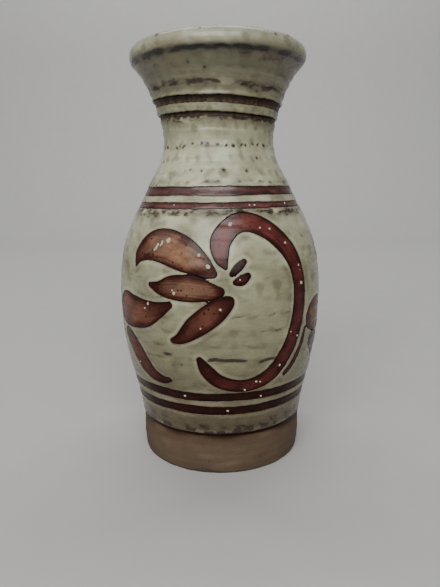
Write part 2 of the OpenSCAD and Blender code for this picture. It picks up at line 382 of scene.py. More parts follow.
def trimmed(theta, z, depth, wrap, bevel, steps):
    """The part of a grid where depth is over zero, cut along the line where it is zero.

    The sheet stops at depth = bevel, and a narrow strip in steps goes from there out to the edge.
    Returns angle, height, depth, and the faces."""
    rows, cols = depth.shape
    g = depth - bevel
    inside = g > 0
    left = np.arange(cols if wrap else cols - 1)
    right = (left + 1) % cols
    turn = np.where(left + 1 == cols, 360.0, 0.0)
    grids = (theta, z) + slopes(theta, z, depth, wrap)

    def crossings(a, b, turned_by):
        """Which neighbours a and b have g change sign between them, and each grid's value there."""
        cross = inside[a] != inside[b]
        t = np.clip(g[a] / np.where(cross, g[a] - g[b], 1), 0.06, 0.94)
        shifts = (turned_by, 0, 0, 0)
        return cross, [(grid[a] + (grid[b] + by - grid[a]) * t)[cross] for grid, by in zip(grids, shifts)]

    row, low = np.arange(rows)[:, None], np.arange(rows - 1)[:, None]
    column = np.arange(cols)[None, :]
    h_cross, h_values = crossings((row, left[None, :]), (row, right[None, :]), turn[None, :])
    v_cross, v_values = crossings((low, column), (low + 1, column), 0.0)
    first = int(inside.sum())
    index = numbered(inside, 0)
    h_index = numbered(h_cross, first)
    v_index = numbered(v_cross, first + int(h_cross.sum()))
    edge_t, edge_z, nx, nz = (np.concatenate(pair) for pair in zip(h_values, v_values))
    size = np.maximum(np.hypot(nx, nz), 1e-6)
    border = len(edge_t)

    corners_in = [inside[:-1][:, left], inside[:-1][:, right], inside[1:][:, right], inside[1:][:, left]]
    full = np.logical_and.reduce(corners_in)
    i, j = np.nonzero(full)
    quads = np.stack([index[i, j], index[i, right[j]], index[i + 1, right[j]], index[i + 1, j]], axis=1)
    faces, rim = [], []
    for i, j in zip(*np.nonzero(np.logical_or.reduce(corners_in) & ~full)):
        r = right[j]
        corners = ((i, j), (i, r), (i + 1, r), (i + 1, j))
        sides = (h_index[i, j], v_index[i, r], h_index[i + 1, j], v_index[i, j])
        face, crossed = [], []
        for c in range(4):
            here, there = inside[corners[c]], inside[corners[(c + 1) % 4]]
            if here:
                face.append(index[corners[c]])
            if here != there:
                face.append(sides[c])
                crossed.append((sides[c], here))
        faces.append(face)
        for c, (point, goes_out) in enumerate(crossed):
            if goes_out:
                rim.append((point, crossed[(c + 1) % len(crossed)][0]))

    a, b = np.array(rim).reshape(-1, 2).T
    sheets = [(theta[inside], z[inside], depth[inside]), (edge_t, edge_z, np.full(border, bevel))]
    strips = []
    for n, s in enumerate(steps):
        across = edge_t - nx / size * s / per_degree(edge_z)
        sheets.append((across, edge_z - nz / size * s, np.full(border, bevel - s)))
        near, far = n * border, (n + 1) * border
        strips.append(np.stack([b + near, a + near, a + far, b + far], axis=1))
    loops = np.concatenate([quads.ravel()] + faces + [np.concatenate(strips).ravel()]).astype(int)
    counts = np.concatenate([np.full(len(quads), 4), [len(face) for face in faces],
                             np.full(len(rim) * len(steps), 4)]).astype(int)
    return *(np.concatenate(part) for part in zip(*sheets)), loops, counts


# Distances of the first rows from the edge of a coat
EDGE_ROWS = np.array([0, 0.06, 0.16, 0.3, 0.45])


def ring_grid(theta, low, high, step):
    """A grid that fills the ring between two wavy edges but for the gap, with rows closer together near them.
    Returns angle, height, share of the way up, and distance to the nearer edge."""
    low, high = low + GAP, high - GAP
    tall = float(np.mean(high - low))
    inner = np.linspace(EDGE_ROWS[-1], tall - EDGE_ROWS[-1], max(3, int(round(tall / step))))
    up = np.concatenate([EDGE_ROWS, inner[1:-1], tall - EDGE_ROWS[::-1]])[:, None] + 0 * theta
    share = up / tall
    return theta + 0 * up, low * (1 - share) + high * share, share, np.minimum(up, tall - up)


def ring_faces(rows, cols):
    """Faces of a grid that closes on itself all round."""
    i, j = np.meshgrid(np.arange(rows - 1), np.arange(cols), indexing="ij")
    r = (j + 1) % cols
    quads = np.stack([i * cols + j, i * cols + r, (i + 1) * cols + r, (i + 1) * cols + j], axis=-1)
    return quads.reshape(-1, 4).ravel(), np.full(i.size, 4)


def spun(profile, theta):
    """Angle, radius and height of a profile's points in every column."""
    r = profile[:, 0][:, None] + 0 * theta
    z = profile[:, 1][:, None] + 0 * theta
    return theta[None, :] + 0 * r, r, z


def lathe(rings, closed):
    """Points and faces of rings of points, outside seen when the rings run upwards on the outside, and which
    points are kept. Not closed means that the first and last ring are each one point on the axis."""
    rows, cols = rings.shape[:2]
    points = rings.reshape(-1, 3)
    keep = np.ones(len(points), bool)
    j = np.arange(cols)
    r = (j + 1) % cols
    quads = []
    first, stop = (0, rows) if closed else (1, rows - 2)
    for i in range(first, stop):
        n = (i + 1) % rows
        quads.append(np.stack([i * cols + j, i * cols + r, n * cols + r, n * cols + j], axis=1))
    quads = np.concatenate(quads)
    if closed:
        return points, quads.ravel(), np.full(len(quads), 4), keep
    tip = (rows - 1) * cols
    bottom_fan = np.stack([0 * j, cols + r, cols + j], axis=1)
    top_fan = np.stack([0 * j + tip, tip - cols + j, tip - cols + r], axis=1)
    keep[1:cols] = False
    keep[tip + 1:] = False
    renumber = np.cumsum(keep) - 1
    loops = renumber[np.concatenate([quads.ravel(), bottom_fan.ravel(), top_fan.ravel()])]
    return points[keep], loops, np.repeat([4, 3], [len(quads), 2 * cols]), keep


# ---- brush marks ----


def brush_line(name, motif):
    """Close samples of a stroke's spine in its place: angle, height, half width, and length so far."""
    turn, squeeze, sag = motif
    p = np.array(STROKES[name], float)
    if name in SAGGING:
        p[:, 1] -= sag * np.clip((p[:, 1] - SAG_FROM) / SAG_OVER, 0, 1)
    p[:, 0] = turn + squeeze * p[:, 0]
    q = np.vstack([2 * p[0] - p[1], p, 2 * p[-1] - p[-2]])
    line = []
    for i in range(len(p) - 1):
        a, b, c, d = q[i:i + 4]
        gap = math.hypot((c[0] - b[0]) * per_degree(b[1]), c[1] - b[1])
        n = max(2, math.ceil(gap / 0.6))
        t = (np.arange(n) / n)[:, None]
        line.append((2 * b + (c - a) * t + (2 * a - 5 * b + 4 * c - d) * t ** 2
                     + (3 * b - a - 3 * c + d) * t ** 3) / 2)
    line = np.vstack(line + [p[-1:]])
    hops = np.hypot(np.diff(line[:, 0]) * per_degree(line[1:, 1]), np.diff(line[:, 1]))
    return np.column_stack([line, np.concatenate([[0], np.cumsum(hops)])])


def brush_depth(line, theta, z, block=6000):
    """How far each point is inside the brush mark, and the sample of its line that it belongs to."""
    t, h = theta.ravel(), z.ravel()
    best = np.empty(t.size)
    where = np.empty(t.size, int)
    k = per_degree(line[:, 1])
    for s in range(0, t.size, block):
        u = (t[s:s + block, None] - line[None, :, 0]) * k
        v = h[s:s + block, None] - line[None, :, 1]
        deep = line[None, :, 2] - np.hypot(u, v)
        where[s:s + block] = deep.argmax(1)
        best[s:s + block] = deep.max(1)
    return best.reshape(theta.shape), where.reshape(theta.shape)


LINES = {(s, m): brush_line(s, MOTIFS[m]) for m in range(len(MOTIFS)) for s in STROKES}
# Distance up to which iron beside a point is looked for, and the distance given where there is none
FAR = 6.0
NO_IRON = 9.0


def iron_away(theta, z):
    """Distance from each point of the belly to the nearest brush mark, up to FAR; under zero inside it."""
    away = np.full(theta.shape, FAR)
    for line in LINES.values():
        mid = (line[:, 0].min() + line[:, 0].max()) / 2
        near_t = nearest_turn(theta - mid) + mid
        margin = line[:, 2].max() + FAR
        k = per_degree(line[:, 1]).min()
        box = (
            (near_t > line[:, 0].min() - margin / k) & (near_t < line[:, 0].max() + margin / k)
            & (z > line[:, 1].min() - margin) & (z < line[:, 1].max() + margin)
        )
        if box.any():
            deep = brush_depth(line, near_t[box], z[box])[0]
            away[box] = np.minimum(away[box], -deep)
    return away


# ---- colour of the pale glaze ----

# Rows of iron specks and smears along the throwing rings: height, half its height, strength, whole smears
# round the pot, and how much of the way round they cover
SMUDGES = [
    (34.6, 2.8, 1.35, 20, 0.78), (38.5, 3.2, 0.95, 16, 0.6), (44, 2.0, 0.35, 20, 0.35),
    (67.5, 1.6, 0.5, 18, 0.5), (73, 4.0, 0.45, 14, 0.4), (90.6, 1.0, 0.7, 9, 0.5),
    (86, 3.0, 0.35, 14, 0.4), (99.5, 1.5, 0.66, 20, 0.5),
    (110.5, 1.7, 0.66, 20, 0.52), (121, 1.5, 0.62, 22, 0.5), (132.5, 1.5, 0.45, 20, 0.4),
    (146, 1.4, 0.36, 20, 0.35), (157, 1.4, 0.34, 20, 0.35), (170, 1.4, 0.3, 20, 0.35),
    (188.6, 3.4, 0.78, 10, 1.0), (189.2, 2.3, 1.1, 26, 0.7), (208.3, 1.6, 0.7, 22, 0.55),
    (217, 0.9, 0.4, 30, 0.25), (225.5, 0.8, 0.35, 30, 0.25), (234, 1.1, 1.3, 40, 0.5),
    (245.5, 0.9, 0.35, 24, 0.35), (251.2, 3.4, 0.66, 12, 1.1), (252, 2.1, 1.05, 26, 0.8),
    (259, 1.0, 0.35, 24, 0.4), (273, 3.4, 0.75, 10, 1.0), (273.2, 2.0, 1.3, 14, 0.7),
    (278, 1.4, 0.4, 22, 0.4), (283, 1.4, 0.5, 22, 0.4), (290.5, 3.0, 0.7, 14, 0.75),
]
# Dark lines where the glaze parted along a ring: first angle, last angle, height
PARTED = [
    (-7, 14, 90.5), (20, 33, 88.7), (-32, -26, 94), (118, 141, 90.2), (150, 158, 89.6), (228, 246, 90.8),
    (254, 270, 89), (196, 203, 93.5),
]
# Single spots of iron: angle, height, radius
SPOTS = [
    (37.4, 225.4, 1.1), (4.1, 217, 1.5), (23.3, 216.3, 1.3), (-14, 216.5, 0.9), (-24, 217.5, 0.8),
    (-49, 290, 1.3), (-20, 285, 1.0), (32, 287, 1.1), (-9, 281.5, 1.2), (101, 222, 1.2), (163, 219, 1.4),
    (214, 228, 1.0), (251, 216, 1.4), (296, 224, 1.1),
]
# The same on the lip: angle, angle round the roll, radius
LIP_SPOTS = [
    (-38, 37, 1.1), (36, 32, 1.1), (47.5, 42, 1.0), (118, 70, 1.0), (142, 40, 1.1), (190, 110, 1.0),
    (232, 20, 1.1), (283, 55, 1.0), (-60, 95, 0.9), (15, 120, 0.9),
]


def smudge_rows(theta, z):
    """How strongly iron smears the pale glaze, from the rows, the dark lines and the spots."""
    total = np.zeros(np.broadcast(theta, z).shape)
    for i, (height, spread, strength, waves, cover) in enumerate(SMUDGES):
        tilt = NECK_TILT * clay_r(height) * np.sin(np.radians(theta)) if height > NECK_Z else 0
        drift = min(0.7, 0.6 * spread) * ripple(100 + i, theta, 0 * z, (1, 9), 10, 8)
        rough = ripple(130 + i, theta, z, (waves // 4, waves * 2), 2.4 * spread + 1.5, 20)
        broken = smoothstep(1.0 - 2.2 * cover, 2.0 - 2.2 * cover, rough)
        total = np.maximum(total, strength * broken * bump_at(z + tilt, height + drift, spread))
    k = per_degree(np.minimum(z, TOP_Z))
    for first, final, height in PARTED:
        middle = (first + final) / 2
        off = np.abs(nearest_turn(theta - middle))
        along = smoothstep((final - first) / 2 + 1.5, (final - first) / 2 - 2.5, off)
        drift = 0.5 * ripple(155, theta, 0 * z, (4, 24), 10, 8)
        total = np.maximum(total, 2.0 * along * bump_at(z, height + drift, 1.05))
    for angle, height, radius in SPOTS:
        off = nearest_turn(theta - angle) * k
        total = np.maximum(total, 1.3 * bump_at(np.hypot(off, z - height), 0, radius))
    return total


def pale_tint(theta, z, near, up=None):
    """Colour of the pale glaze, and how full of iron specks it is. near is the distance to the iron beside
    it, and up the way along the surface, which is the height where nothing else is given."""
    up = z if up is None else up
    # colour by height, with the table's painted light and shade in it
    tint = stops(PALE_WITH_PAINTED_LIGHT, z + 1.5 * ripple(11, theta, up, (1, 4), 60, 8))
    patch = ripple(12, theta, up, (2, 9), 34) * 0.6 + ripple(13, theta, up, (10, 40), 12) * 0.45
    tint = tint * (1 + 0.07 * patch)[..., None]
    warm = smoothstep(0.1, 2.2, ripple(14, theta, up, (1, 9), 36))
    tint = mixed(tint, TOAST, 0.35 * warm)
    # blotches that keep to the throwing rings
    ringed = ripple(16, theta, up, (8, 40), 16, 24) + 0.9 * np.cos((z - 90) * TURN / 10.4)
    tint = mixed(tint, SMOKE, 0.5 * smoothstep(0.5, 2.6, ringed))
    # the flare's rings are in turn pale and dark: partly the glaze's thickness, partly painted light and
    # shade on the ridges
    tint = tint * (1 + 0.1 * smoothstep(264, 272, z) * np.cos((z - 277.5) * TURN / 9.5))[..., None]
    rows = smudge_rows(theta, z)
    tint = mixed(tint, SMUDGE_TINT, 0.8 * np.minimum(rows, 1.1))
    # thicker and creamier beside the iron, smoky in places further out
    fringe = ripple(15, theta, up, (2, 16), 26)
    beside = bump_at(near, 1.5, 1.1)
    creamy = 0.8 * beside * smoothstep(-1.9, 0.3, fringe) * np.interp(z, CREAM_Z, CREAM_SHARE)
    tint = mixed(tint, 0.5 * tint * 1.35 + 0.5 * CREAM, creamy)
    tint = mixed(tint, SMOKE, 0.5 * bump_at(near, 3.2, 2.2) * smoothstep(0.9, -1.2, fringe))
    tint = mixed(tint, HALO, 0.75 * np.exp(-np.maximum(near, 0) / 0.4))
    return tint, rows


# ---- materials ----


class Shader:
    """A material of procedural nodes on one principled shader, with short calls that add and join nodes."""

    def __init__(self, name, roughness, specular=0.5):
        self.material = bpy.data.materials.new(name)
        self.material.use_nodes = True
        self.nodes = self.material.node_tree.nodes
        self.links = self.material.node_tree.links
        self.inputs = self.nodes["Principled BSDF"].inputs
        self.inputs["Roughness"].default_value = roughness
        self.inputs["Specular IOR Level"].default_value = specular
        self.where = self.nodes.new("ShaderNodeTexCoord").outputs["Object"]

    def put(self, socket, value):
        """Set a socket to a number or a colour, or join another node's output to it."""
        if isinstance(value, (int, float, tuple)):
            socket.default_value = value
        else:
            self.links.new(value, socket)

    def kept(self, name, out="Color"):
        """A value kept on the mesh's points."""
        node = self.nodes.new("ShaderNodeAttribute")
        node.attribute_name = name
        return node.outputs[out]

    def noise(self, scale, detail=4.0, rough=0.5):
        """Noise texture stretched by a scale along x, y and z."""
        stretch = self.nodes.new("ShaderNodeMapping")
        self.put(stretch.inputs["Vector"], self.where)
        self.put(stretch.inputs["Scale"], scale)
        tex = self.nodes.new("ShaderNodeTexNoise")
        self.put(tex.inputs["Vector"], stretch.outputs["Vector"])
        self.put(tex.inputs["Scale"], 1.0)
        self.put(tex.inputs["Detail"], detail)
        self.put(tex.inputs["Roughness"], rough)
        return tex.outputs["Fac"]

    def span(self, value, a, b, lo=0.0, hi=1.0, smooth=False):
        """The value stretched from a..b to lo..hi."""
        node = self.nodes.new("ShaderNodeMapRange")
        node.interpolation_type = "SMOOTHSTEP" if smooth else "LINEAR"
        self.put(node.inputs["Value"], value)
        for socket, limit in (("From Min", a), ("From Max", b), ("To Min", lo), ("To Max", hi)):
            self.put(node.inputs[socket], limit)
        return node.outputs["Result"]

    def vary(self, texture, lo, hi):
        """A noise texture's usual reach stretched to lo..hi."""
        return self.span(texture, 0.3, 0.7, lo, hi)

    def maths(self, kind, a, b):
        node = self.nodes.new("ShaderNodeMath")
        node.operation = kind
        self.put(node.inputs[0], a)
        self.put(node.inputs[1], b)
        return node.outputs["Value"]

    def times(self, a, b):
        return self.maths("MULTIPLY", a, b)

    def plus(self, a, b):
        return self.maths("ADD", a, b)

    def mix(self, share, a, b, kind="MIX"):
        node = self.nodes.new("ShaderNodeMix")
        node.data_type = "RGBA"
        node.blend_type = kind
        node.clamp_factor = True
        for socket, value in zip((0, 6, 7), (share, a, b)):
            self.put(node.inputs[socket], value)
        return node.outputs[2]

    def shaded(self, light):
        """The points' own colour made lighter and darker."""
        return self.mix(1.0, self.kept("tint"), light, "MULTIPLY")

    def specks(self, base, scale, share, fade, dot, strength, colour, crowd=None):
        """Dots in a share of the cells of a Voronoi texture, more of them where crowd is high. dot is the
        radius of the dot's core and of its soft edge, in cells."""
        cells = self.nodes.new("ShaderNodeTexVoronoi")
        self.put(cells.inputs["Vector"], self.where)
        self.put(cells.inputs["Scale"], scale)
        chance = self.nodes.new("ShaderNodeSeparateColor")
        self.put(chance.inputs["Color"], cells.outputs["Color"])
        luck = chance.outputs["Red"]
        if crowd is not None:
            luck = self.plus(luck, crowd)
        rare = self.span(luck, 1 - share, 1 - share + fade)
        spot = self.span(cells.outputs["Distance"], dot[0], dot[1], 1.0, 0.0, smooth=True)
        return self.mix(self.times(self.times(rare, spot), strength), base, rgba(colour))

    def bumps(self, height, distance):
        node = self.nodes.new("ShaderNodeBump")
        self.put(node.inputs["Height"], height)
        self.put(node.inputs["Strength"], 1.0)
        self.put(node.inputs["Distance"], distance)
        self.put(self.inputs["Normal"], node.outputs["Normal"])


def rgba(colour):
    return (float(colour[0]), float(colour[1]), float(colour[2]), 1.0)


def pale_material(name, roughness, share):
    """Milky stoneware glaze: fine level streaks, iron specks, and smears where the rows attribute is high."""
    s = Shader(name, roughness)
    rows = s.kept("rows", "Fac")
    streak = s.noise((45, 45, 620), 3)
    mottle = s.noise((260, 260, 420), 4, 0.6)
    cloud = s.noise((90, 90, 150), 4, 0.6)
    light = s.times(s.vary(streak, 0.95, 1.05), s.vary(mottle, 0.96, 1.04))
    base = s.shaded(s.times(light, s.vary(cloud, 0.88, 1.1)))
    # smears: broken noise that the rows attribute lets through
    grit = s.noise((190, 190, 560), 4, 0.65)
    smear = s.span(s.plus(grit, s.times(rows, 0.33)), 0.69, 0.87, smooth=True)
    base = s.mix(s.times(smear, 0.86), base, rgba(srgb(38, 26, 20)))
    base = s.specks(base, 190.0, share, 0.01, (0.12, 0.26), 0.8, srgb(62, 44, 32), s.times(rows, 0.2))
    s.put(s.inputs["Base Color"], base)
    s.put(s.inputs["Roughness"], s.vary(mottle, roughness - 0.05, roughness + 0.07))
    s.bumps(s.plus(cloud, s.times(streak, 0.4)), 0.0002)
    return s.material


def iron_material(name, roughness, pitted, shine=0.7):
    """Iron-bearing brush mark: red-brown, blotched, with a share of dark pits."""
    s = Shader(name, roughness)
    blotch = s.noise((150, 150, 240), 4, 0.6)
    fine = s.noise((700, 700, 900), 3, 0.6)
    base = s.shaded(s.times(s.vary(blotch, 0.78, 1.22), s.vary(fine, 0.88, 1.12)))
    base = s.specks(base, 290.0, pitted, 0.02, (0.14, 0.3), 0.9, srgb(30, 13, 10))
    s.put(s.inputs["Base Color"], base)
    s.put(s.inputs["Roughness"], s.vary(blotch, roughness - 0.04, roughness + 0.08))
    # thinner and less shiny towards the foot
    split = s.nodes.new("ShaderNodeSeparateXYZ")
    s.put(split.inputs["Vector"], s.where)
    s.put(s.inputs["Specular IOR Level"], s.span(split.outputs["Z"], 0.14, 0.2, 0.1, shine))
    s.bumps(s.plus(blotch, s.times(fine, 0.4)), 0.00014)
    return s.material


def clay_material():
    """Bare fired stoneware: dry, sandy, with turning marks."""
    s = Shader("clay", 0.8, 0.25)
    grain = s.noise((1300, 1300, 1300), 3, 0.7)
    cloud = s.noise((60, 60, 90), 4, 0.55)
    turned = s.noise((14, 14, 900), 3, 0.6)
    light = s.times(s.vary(grain, 0.86, 1.14), s.vary(cloud, 0.9, 1.1))
    base = s.shaded(s.times(light, s.vary(turned, 0.97, 1.03)))
    base = s.specks(base, 420.0, 0.07, 0.02, (0.1, 0.3), 0.55, srgb(66, 44, 34))
    s.put(s.inputs["Base Color"], base)
    s.bumps(s.plus(grain, turned), 0.0002)
    return s.material


PALE_GLAZE = pale_material("pale_glaze", 0.27, 0.012)
LINER = pale_material("liner_glaze", 0.3, 0.02)
IRON_BAND = iron_material("iron_band", 0.27, 0.1)
IRON_LINE = iron_material("iron_line", 0.4, 0.05, 0.15)
IRON_DARK = iron_material("iron_dark", 0.25, 0.2)
IRON_RUST = iron_material("iron_rust", 0.25, 0.5)
CLAY = clay_material()


# ---- clay body ----


def arc(centre, radius, degrees):
    """Points of a round corner of the profile at the angles given."""
    a = np.radians(degrees)
    return np.column_stack([centre[0] + radius * np.cos(a), centre[1] + radius * np.sin(a)])


def straight(a, b, step):
    """Points from a up to but not b."""
    a, b = np.array(a, float), np.array(b, float)
    n = max(1, int(math.ceil(np.linalg.norm(b - a) / step)))
    return a + (b - a) * (np.arange(n) / n)[:, None]


def inside_profile(g, step=2.0):
    """Inside of the wall brought inwards by g, from under the lip down to the floor's middle."""
    z = np.append(TOP_Z, np.arange(TOP_Z - 0.1, BASE_TOP, -step))
    wall = np.column_stack([clay_r(z) - WALL - g, z])
    base_r = float(clay_r(KEY_Z[3])) - WALL - BASE_ROUND
    corner = arc((base_r, BASE_TOP), BASE_ROUND - g, np.arange(0, -90.1, -5))
    floor = straight(corner[-1], (0, FLOOR_T + g), step)[1:]
    return np.vstack([wall, corner, floor, [[0, FLOOR_T + g]]])


def roll_profile(g, step):
    """Round of the lip roll brought outwards by g, from under it up and over to the inside."""
    return arc((LIP_R, ROLL_Z), ROLL_R + g, np.arange(-50, 180.1, step))


def make_clay():
    """The clay: foot ring and recess, bare foot, wall behind the glaze, lip and inside."""
    theta = around(320, 0)
    ring_in = FOOT_R - FOOT_RING_W
    sole_out = float(clay_r(0)) - FOOT_BEVEL
    hollow_round, sole_round = 1.2, 0.8
    under = straight((0, RECESS), (ring_in - hollow_round, RECESS), 1.1)
    heights = np.concatenate([np.arange(FOOT_BEVEL + 0.6, 34, 0.6), np.arange(36, TOP_Z, 3.0), [TOP_Z]])
    foot = [
        under,
        arc((ring_in - hollow_round, RECESS - hollow_round), hollow_round, np.arange(90, -1, -30)),
        arc((ring_in + sole_round, sole_round), sole_round, np.arange(180, 269, 30)),
        straight((ring_in + sole_round, 0), (sole_out, 0), 0.9),
    ]
    outside = [
        arc((sole_out, FOOT_BEVEL), FOOT_BEVEL, np.arange(-90, 1, 18)),
        np.column_stack([clay_r(heights), heights]),
    ]
    profile = np.vstack(foot + outside + [roll_profile(0, 15), inside_profile(0, 6.0)])
    t, r, z = spun(profile, theta)
    row = np.arange(len(profile))[:, None]
    first = sum(len(part) for part in foot)
    on_outside = (row >= first) & (row < first + sum(len(part) for part in outside))
    bare = smoothstep(33.5, 31, z)
    lines = 0.05 * np.sin(z * TURN / 1.9 + 0.5 * np.sin(z)) + 0.09 * np.sin(z * TURN / 6.1 + 1)
    push = bare * (soft(t, z) + lines * smoothstep(0.5, 3, z)) + (1 - bare) * (CLAY_SINK + soft(t, z))
    r = r + np.where(on_outside, push, 0)
    # turning rings on the underside
    below = (row > 0) & (row < len(under))
    uneven = 0.1 * np.minimum(r / 30, 1) * ripple(21, t, r, (1, 3), 20, 8)
    z = z - np.where(below, 0.12 * np.sin(r * TURN / 3.1) + uneven, 0)
    points, loops, counts, keep = lathe(on_pot(t, r, z), False)
    # colour up the foot: toasted red-brown under the glaze line, and darker at the very bottom, where it is
    # painted shadow along the foot's lower edge
    tint = stops([
        (0, (70, 58, 46)), (3, (90, 75, 60)), (12, (97, 81, 64)), (22, (95, 78, 62)),
        (27, (86, 66, 50)), (30, (58, 36, 26)), (33, (38, 20, 14)),
    ], z + 0.9 * ripple(22, t, z, (2, 12), 20))
    scuff = smoothstep(0.6, 2.2, ripple(23, t, z, (2, 18), 9)) * bare
    tint = mixed(tint, srgb(122, 104, 86), 0.3 * scuff)
    # the sole and its bevel darker: partly grime, partly painted shadow along the foot's bottom edge
    sole_dirt_and_shade = smoothstep(1.4, 0.2, z) * (r > ring_in)
    tint = mixed(tint, srgb(62, 53, 45), 0.5 * sole_dirt_and_shade)
    add_piece("clay_body", CLAY, points, loops, counts, tint.reshape(-1, 3)[keep])


def make_liner():
    """Glaze inside, with the spiral that the fingers left in the wall and rings on the floor."""
    theta = around(256, 0)
    skin = inside_profile(LINER_T)[::-1]
    profile = np.vstack([skin, inside_profile(-0.02, 4.0)])
    t, r, z = spun(profile, theta)
    on_skin = (np.arange(len(profile)) < len(skin))[:, None]
    on_wall = smoothstep(20, 60, z) * smoothstep(285, 278, z)
    spiral = 0.16 * np.sin((z + 8 * t / 360) * TURN / 8) * on_wall
    on_floor = smoothstep(16, 11, z) * smoothstep(2, 8, r)
    floor_ring = 0.2 * np.sin((r + 6 * t / 360) * TURN / 6) * on_floor
    taper = 0.1 + 0.2 * smoothstep(262, 284, z)
    r = r - np.where(on_skin, spiral + taper, 0) * smoothstep(4, 12, r)
    z = z + np.where(on_skin, floor_ring, 0)
    points, loops, counts, keep = lathe(on_pot(t, r, z), False)
    # the outside's colour by height with its painted light and shade, then darker overall and more so towards
    # the floor
    tint, rows = pale_tint(t, np.interp(z, [0, 300], [60, 290]), np.full(z.shape, NO_IRON))
    toward_floor = smoothstep(40, 8, z)
    tint = mixed(tint, srgb(100, 86, 62), 0.25 + 0.5 * toward_floor)
    loops = flip(loops, counts)
    tint, rows = tint.reshape(-1, 3)[keep], 0.6 * rows.ravel()[keep]
    add_piece("liner_glaze", LINER, points, loops, counts, tint, rows)


# ---- bands ----


def band_tint(i, theta, share, near):
    """Colour across band i, where share is 0 at its lower edge and 1 at its upper edge."""
    name = BANDS[i][0]
    flow = ripple(60 + i, theta, 40 * share, (2, 30), 60)
    if name == "glaze_line":
        tint = stops([(0, (38, 14, 9)), (0.5, (28, 10, 7)), (1, (38, 16, 11))], share + 0.1 * flow)
    elif name.startswith("lower"):
        tint = stops([(0, (30, 12, 8)), (0.5, (44, 18, 12)), (1, (30, 12, 8))], share + 0.08 * flow)
    elif name.startswith("shoulder"):
        # lighter along the middle, and the lower band lighter than the upper: the iron's brown with a painted
        # reflection on it
        painted_sheen_scale = 1.2 if name.endswith("bottom") else 0.88
        tint = stops([(0, (58, 32, 29)), (0.5, (96, 56, 51)), (1, (56, 30, 27))], share + 0.08 * flow) * painted_sheen_scale
    else:
        smear = ripple(90 + i, theta, share, (20, 90), 3, 24)
        fade = share + 0.1 * flow + 0.16 * smear * (1 - share)
        # from brown up to near black at the upper edge: iron showing through, with painted shade under the
        # ledge above
        tint = stops([(0, (84, 72, 54)), (0.25, (64, 50, 39)), (0.5, (50, 37, 29)), (0.75, (38, 26, 20)),
                      (0.9, (22, 13, 10)), (1, (14, 8, 7))], fade)
        gap = smoothstep(1.3, 2.2, ripple(80 + i, theta, 2 * share, (3, 30), 4))
        tint = mixed(tint, srgb(104, 92, 70), 0.55 * gap)
    edge_dark = np.exp(-near / 0.5)
    if not name.startswith("neck"):
        tint = mixed(tint, srgb(20, 9, 7), 0.7 * edge_dark)
    return tint * (1 + 0.14 * flow)[..., None]


def make_band(i):
    """One iron band laid on while the pot turned."""
    theta = around(900, -180)
    t, z, share, near = ring_grid(theta, edge(i, 0, theta), edge(i, 1, theta), 0.5)
    # the neck's bands end just under the step that the ledge makes at their upper edge
    below_step = np.minimum(z, edge(i, 1, theta)[None, :] - HAIR)
    out = glaze_surface(t, below_step) + coat_height(near, IRON_T, 0.2, bead=0.03)
    tint = band_tint(i, t, share, near)
    loops, counts = ring_faces(*z.shape)
    points, loops, counts = shell(t.ravel(), z.ravel(), out.ravel(), coat_back(t, z).ravel(), loops, counts)
    material = IRON_LINE if BANDS[i][3] else IRON_BAND
    add_piece(BANDS[i][0], material, points, loops, counts, np.tile(tint.reshape(-1, 3), (2, 1)))


# ---- fields of pale glaze ----


def pale_piece(name, t, z, near, loops, counts, beads=()):
    """A coat of pale glaze, with the beads that belong to it."""
    out = glaze_surface(t, z) + coat_height(near, GLAZE_T)
    tint, rows = pale_tint(t, z, near)
    points, loops, counts = shell(t, z, out, coat_back(t, z), loops, counts)
    tint, rows = np.tile(tint, (2, 1)), np.tile(rows, 2)
    for bead_points, bead_loops, bead_counts, bead_tint in beads:
        loops = np.concatenate([loops, bead_loops + len(points)])
        counts = np.concatenate([counts, bead_counts])
        points = np.concatenate([points, bead_points])
        tint = np.concatenate([tint, bead_tint])
        rows = np.concatenate([rows, np.zeros(len(bead_points))])
    add_piece(name, PALE_GLAZE, points, loops, counts, tint, rows)


def make_field(i):
    """Plain ring of pale glaze over band i and under the next band."""
    theta = around(600, -180)
    # finer rows up the neck, where the throwing rings are deeper
    step = 0.8 if BANDS[i][2] < 210 else 0.62
    t, z, _, near = ring_grid(theta, edge(i, 1, theta), edge(i + 1, 0, theta), step)
    z = np.maximum(z, edge(i, 1, theta)[None, :] + HAIR)
    loops, counts = ring_faces(*z.shape)
    pale_piece(FIELDS[i], t.ravel(), z.ravel(), near.ravel(), loops, counts)


# Beads of pale glaze that crawled on the strokes of the front motif: stroke, share along it, share across it
# towards its left-hand side, and radius
BEADS = [
    ("petal_upper", 0.33, -0.3, 0.9), ("petal_upper", 0.34, -0.19, 1.0), ("petal_upper", 0.35, -0.07, 1.0),
    ("petal_upper", 0.36, 0.05, 0.9), ("petal_upper", 0.39, 0.0, 0.7), ("petal_upper", 0.4, 0.12, 0.9),
    ("petal_upper", 0.405, 0.24, 0.8), ("petal_upper", 0.46, 0.38, 1.6),
    ("petal_upper", 0.79, 0.59, 1.1), ("petal_upper", 0.92, 0.45, 1.5), ("petal_middle", 0.38, -0.46, 1.1),
    ("petal_lower", 0.82, -0.08, 0.9), ("petal_lower", 0.45, -0.38, 0.6), ("leaf", 0.67, 0.8, 1.1),
    ("leaf", 0.58, 0.39, 0.8), ("crescent", 0.13, 0.26, 1.4), ("crescent", 0.22, -0.2, 0.7),
    ("crescent", 0.25, 0.24, 0.8), ("crescent", 0.31, 0.25, 0.9), ("crescent", 0.44, 0.33, 1.3),
    ("crescent", 0.6, 0.7, 0.8), ("crescent", 0.7, 0.19, 0.9), ("crescent", 0.79, -0.17, 0.9),
    ("crescent", 0.78, 0.11, 0.7), ("stamen_lower", 0.3, 0.3, 0.6),
]
